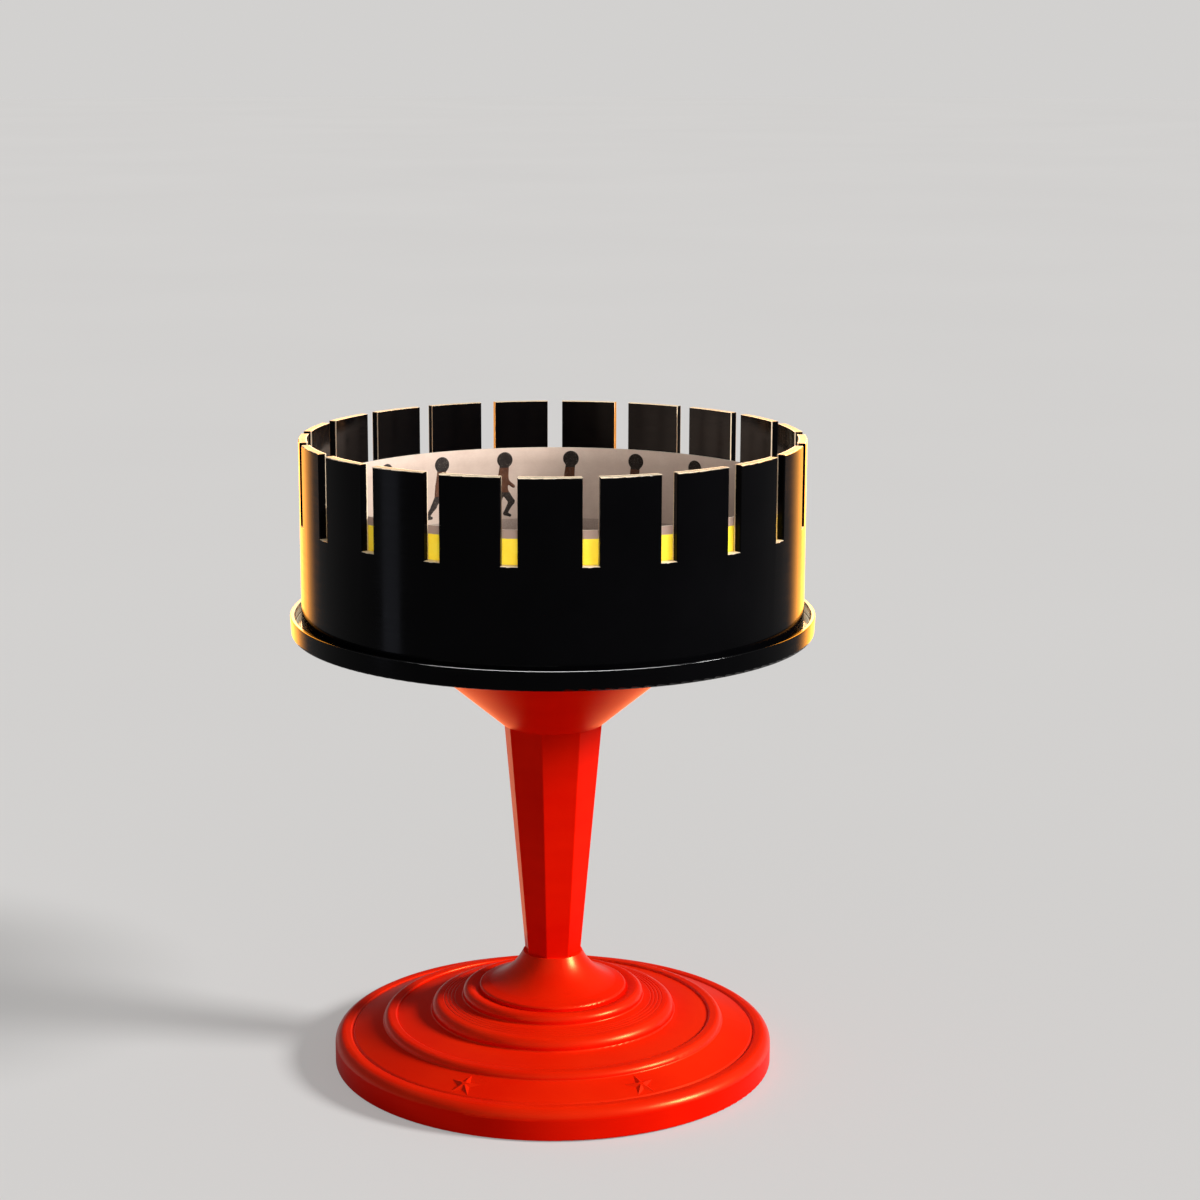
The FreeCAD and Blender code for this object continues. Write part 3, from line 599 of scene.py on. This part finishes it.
def add_figure(bm, middle, cells, places):
    """Solid ink on the strip's printed side, with its middle at an angle from the front."""
    fronts, backs = {}, {}
    for corner, (x, y) in places.items():
        # seen from inside the drum, the picture's left is towards a growing angle
        angle = middle - math.degrees(FIGURE_SCALE * x * MM / STRIP_RADIUS)
        radius = strip_inside(angle)
        z = STRIP_BOTTOM + GROUND + FIGURE_SCALE * y * MM
        fronts[corner] = bm.verts.new(at(radius - INK_PROUD, angle, z))
        backs[corner] = bm.verts.new(at(radius + INK_SUNK, angle, z))
    edges = {}
    for corners in cells:
        bm.faces.new([fronts[corner] for corner in corners]).smooth = True
        bm.faces.new([backs[corner] for corner in reversed(corners)])
        for one, two in zip(corners, corners[1:] + corners[:1]):
            edges[one, two] = True
    for one, two in edges:
        if (two, one) not in edges:
            bm.faces.new((fronts[two], fronts[one], backs[one], backs[two]))


def make_figures():
    """A walking figure for each slot, in its own phase of the walk."""
    bm = bmesh.new()
    for number in range(PICTURES):
        limbs = figure_limbs(STEPS_WALKED * number / PICTURES)

        def distance(x, y):
            return blended([limb(x, y, *one) for one in limbs])

        cells = inked_cells(distance)
        middle = number * 360.0 / PICTURES + FAR_PICTURE
        add_figure(bm, middle, cells, drawn_corners(cells, distance))
    bmesh.ops.recalc_face_normals(bm, faces=bm.faces)
    data = bpy.data.meshes.new("printed_figures")
    bm.to_mesh(data)
    bm.free()
    return data


piece("printed_figures", make_figures(), "strip", "card", printing_ink())


# ---------------------------------------------------------------- stage, camera and light
PALE = (1.0, 0.985, 0.97)        # tint of the backdrop and of what is only seen of the floor
FLOOR_COLOUR = (0.42, 0.413, 0.406)
FLOOR_RADIUS = 12.0
FLOOR_PALENESS = 0.31            # what is seen of it beside what the lamps light
BACKDROP = 0.646                 # paleness of the backdrop
MIRRORED_SHARE = 0.4             # how much of that paleness gloss finds
CEILING = 0.08                   # what gloss finds high above the backdrop
CEILING_HEIGHT = 0.20            # where the backdrop has turned into it, as a sine of elevation
WORLD_LIGHT = 0.17
RIM_COLOUR = (1.0, 0.35, 0.02)   # of the lamps behind the drum
BACK_COLOUR = (1.0, 0.84, 0.58)  # of the long lamps further back
GLOW_COLOUR = (1.0, 0.22, 0.02)  # of the lamps behind the stand
SHEEN_COLOUR = (0.78, 0.82, 1.0)
MIDDLE = (0.0, 0.0, 0.15)        # of the object, where most lamps point
BEHIND = (0.0, 1.20, 0.435)      # place of the long lamps


def mapped(tree, value, low, high, to_low, to_high, smooth=False):
    """Maps low..high onto to_low..to_high, either of which may be a node's output."""
    node = tree.nodes.new("ShaderNodeMapRange")
    if smooth:
        node.interpolation_type = "SMOOTHSTEP"
    tree.links.new(value, node.inputs["Value"])
    for name, number in (("From Min", low), ("From Max", high)):
        node.inputs[name].default_value = number
    for name, number in (("To Min", to_low), ("To Max", to_high)):
        if isinstance(number, bpy.types.NodeSocket):
            tree.links.new(number, node.inputs[name])
        else:
            node.inputs[name].default_value = number
    return node.outputs["Result"]


def seen_directly(tree, mirrored):
    """1 for camera and transmission rays, a smaller share for glossy rays, and 0 for the rays that
    light the object."""
    path = tree.nodes.new("ShaderNodeLightPath")
    glossy = mapped(tree, path.outputs["Is Glossy Ray"], 0.0, 1.0, 0.0, mirrored)
    total = path.outputs["Is Camera Ray"]
    for other in (glossy, path.outputs["Is Transmission Ray"]):
        node = tree.nodes.new("ShaderNodeMath")
        node.operation = "MAXIMUM"
        tree.links.new(total, node.inputs[0])
        tree.links.new(other, node.inputs[1])
        total = node.outputs[0]
    return total


def make_floor():
    """Pale floor. Part of its paleness is only seen and throws no light on the object."""
    s = Surface("pale_floor", Specular_IOR_Level=0.0, Roughness=0.9)
    cloud = s.noise(s.place, 1.5, 3.0)
    lighter = tuple(1.04 * channel for channel in FLOOR_COLOUR)
    s.put(s.shader.inputs["Base Color"], s.mix(s.span(cloud, 0.3, 0.7), FLOOR_COLOUR, lighter))
    s.put(s.shader.inputs["Emission Color"], (*PALE, 1.0))
    s.put(s.shader.inputs["Emission Strength"],
          s.math("MULTIPLY", seen_directly(s.tree, MIRRORED_SHARE), FLOOR_PALENESS))
    bpy.ops.mesh.primitive_circle_add(vertices=96, radius=FLOOR_RADIUS, fill_type="NGON")
    floor = bpy.context.object
    floor.name = "floor"
    floor.data.materials.append(s.material)
    return floor


def make_world():
    """A pale backdrop all round. Gloss finds it darker, and darker still towards the ceiling."""
    world = bpy.data.worlds.new("studio")
    bpy.context.scene.world = world
    world.use_nodes = True
    tree = world.node_tree
    tree.nodes.clear()
    output = tree.nodes.new("ShaderNodeOutputWorld")
    backdrop = tree.nodes.new("ShaderNodeBackground")
    backdrop.inputs["Color"].default_value = (*PALE, 1.0)
    direction = tree.nodes.new("ShaderNodeTexCoord").outputs["Generated"]
    split = tree.nodes.new("ShaderNodeSeparateXYZ")
    tree.links.new(direction, split.inputs[0])
    mirrored = mapped(tree, split.outputs[2], 0.0, CEILING_HEIGHT, MIRRORED_SHARE * BACKDROP,
                      CEILING, smooth=True)
    camera_ray = tree.nodes.new("ShaderNodeLightPath").outputs["Is Camera Ray"]
    seen = mapped(tree, camera_ray, 0.0, 1.0, mirrored, BACKDROP)
    strength = mapped(tree, seen_directly(tree, 1.0), 0.0, 1.0, WORLD_LIGHT, seen)
    tree.links.new(strength, backdrop.inputs["Strength"])
    tree.links.new(backdrop.outputs[0], output.inputs["Surface"])


def soft_sun(name, azimuth, elevation, softness, strength):
    """Soft light from far away, so that the floor is as bright everywhere."""
    data = bpy.data.lights.new(name, "SUN")
    data.energy = strength
    data.angle = math.radians(softness)
    lamp = bpy.data.objects.new(name, data)
    bpy.context.scene.collection.objects.link(lamp)
    aim = -at(math.cos(math.radians(elevation)), azimuth, math.sin(math.radians(elevation)))
    lamp.rotation_euler = aim.to_track_quat("-Z", "Y").to_euler()


def area_light(name, place, target, size, power, colour=(1.0, 1.0, 1.0), gloss_only=False):
    """A rectangular lamp of a width and a height, which points from its place to its target."""
    data = bpy.data.lights.new(name, "AREA")
    data.shape = "RECTANGLE"
    data.size, data.size_y = size
    data.energy = power
    data.color = colour
    lamp = bpy.data.objects.new(name, data)
    bpy.context.scene.collection.objects.link(lamp)
    lamp.location = place
    lamp.rotation_euler = (Vector(target) - Vector(place)).to_track_quat("-Z", "Y").to_euler()
    lamp.visible_diffuse = not gloss_only
    return lamp


def feather(lamp):
    """Fades the lamp out towards its left and right edges, and about keeps its power."""
    full_from = 0.4                  # of its width, in from each edge
    middle_strength = 1.6
    lamp.data.use_nodes = True
    tree = lamp.data.node_tree
    emission = next(node for node in tree.nodes if node.type == "EMISSION")
    split = tree.nodes.new("ShaderNodeSeparateXYZ")
    tree.links.new(tree.nodes.new("ShaderNodeNewGeometry").outputs["Parametric"], split.inputs[0])
    from_edge = tree.nodes.new("ShaderNodeMath")
    from_edge.operation = "PINGPONG"
    from_edge.inputs[1].default_value = 0.5
    tree.links.new(split.outputs[0], from_edge.inputs[0])
    strength = mapped(tree, from_edge.outputs[0], 0.0, full_from, 0.0, middle_strength, smooth=True)
    tree.links.new(strength, emission.inputs["Strength"])


def link_light(state, things, *lamps):
    """The lamps light these things alone ("INCLUDE"), or all but these ("EXCLUDE")."""
    for lamp in lamps:
        receivers = bpy.data.collections.new(lamp.name + "_receivers")
        for thing in things:
            receivers.objects.link(thing)
        for member in receivers.collection_objects:
            member.light_linking.link_state = state
        lamp.light_linking.receiver_collection = receivers


def make_lamps(floor):
    """A soft key from the right, a weak fill, and lamps that each light only some pieces."""
    soft_sun("fill", -12.0, 25.0, 60.0, 0.15)
    soft_sun("key", 75.0, 28.0, 13.5, 4.0)

    top = area_light("top_strip", (0.15, -0.55, 0.95), MIDDLE, (0.9, 0.10), 2.4)
    link_light("EXCLUDE", (floor, nodes["base"]), top)

    # warm edges on the drum and the turntable, and a cool sheen on their left
    rims = (area_light("rim_left", (-0.26, 0.45, 0.24), MIDDLE, (0.5, 0.5), 4.0, RIM_COLOUR),
            area_light("rim_right", (0.27, 0.45, 0.24), MIDDLE, (0.5, 0.5), 5.0, RIM_COLOUR))
    for rim in rims:
        feather(rim)
    back = area_light("back_strip", BEHIND, MIDDLE, (0.9, 0.17), 1.7, BACK_COLOUR)
    sheen = area_light("sheen", (-0.60, -0.20, 0.08), MIDDLE, (0.10, 0.3), 0.24, SHEEN_COLOUR)
    link_light("INCLUDE", (nodes["slotted_drum"], nodes["turntable"]), *rims, back, sheen)

    # thin highlights along the turntable's lip
    front = area_light("lip_strip", (0.0, -0.42, 0.52), MIDDLE, (1.2, 0.12), 34.0, gloss_only=True)
    back = area_light("lip_back", BEHIND, MIDDLE, (0.9, 0.17), 2.6, BACK_COLOUR)
    link_light("INCLUDE", (nodes["turntable"],), front, back)

    # the card, which the drum's wall shades from the key
    for place in ((0.0, -0.60, 0.30), (0.45, -0.40, 0.28)):
        fill = area_light("card_fill", place, (0.0, 0.0, 0.19), (0.3, 0.2), 2.0)
        link_light("INCLUDE", (strip,), fill)

    # warm edges on the column and under the head
    for side in (-1.0, 1.0):
        glow = area_light("stem_glow", (0.085 * side, 0.11, 0.06), (0.0, 0.0, 0.10),
                          (0.10, 0.14), 0.09, GLOW_COLOUR, gloss_only=True)
        link_light("INCLUDE", (nodes["column"],), glow)
        glow = area_light("head_glow", (0.08 * side, 0.085, 0.085), (0.0, -0.02, 0.16),
                          (0.16, 0.14), 0.30, GLOW_COLOUR, gloss_only=True)
        link_light("INCLUDE", (nodes["stand_head"],), glow)


def make_camera():
    """In front of the object, a little above it and tilted down, as in the photo. The shift puts
    the object where the photo has it."""
    data = bpy.data.cameras.new("camera")
    data.sensor_width = 36.0
    data.lens = 81.12
    data.shift_x = 0.0394
    camera = bpy.data.objects.new("camera", data)
    bpy.context.scene.collection.objects.link(camera)
    distance = 0.9504
    height = 0.3796
    tilt = 12.23
    camera.location = (0.0, -distance, height)
    camera.rotation_euler = (math.radians(90.0 - tilt), 0.0, 0.0)
    bpy.context.scene.camera = camera


make_world()
make_lamps(make_floor())
make_camera()
bpy.context.scene.view_settings.view_transform = "Standard"
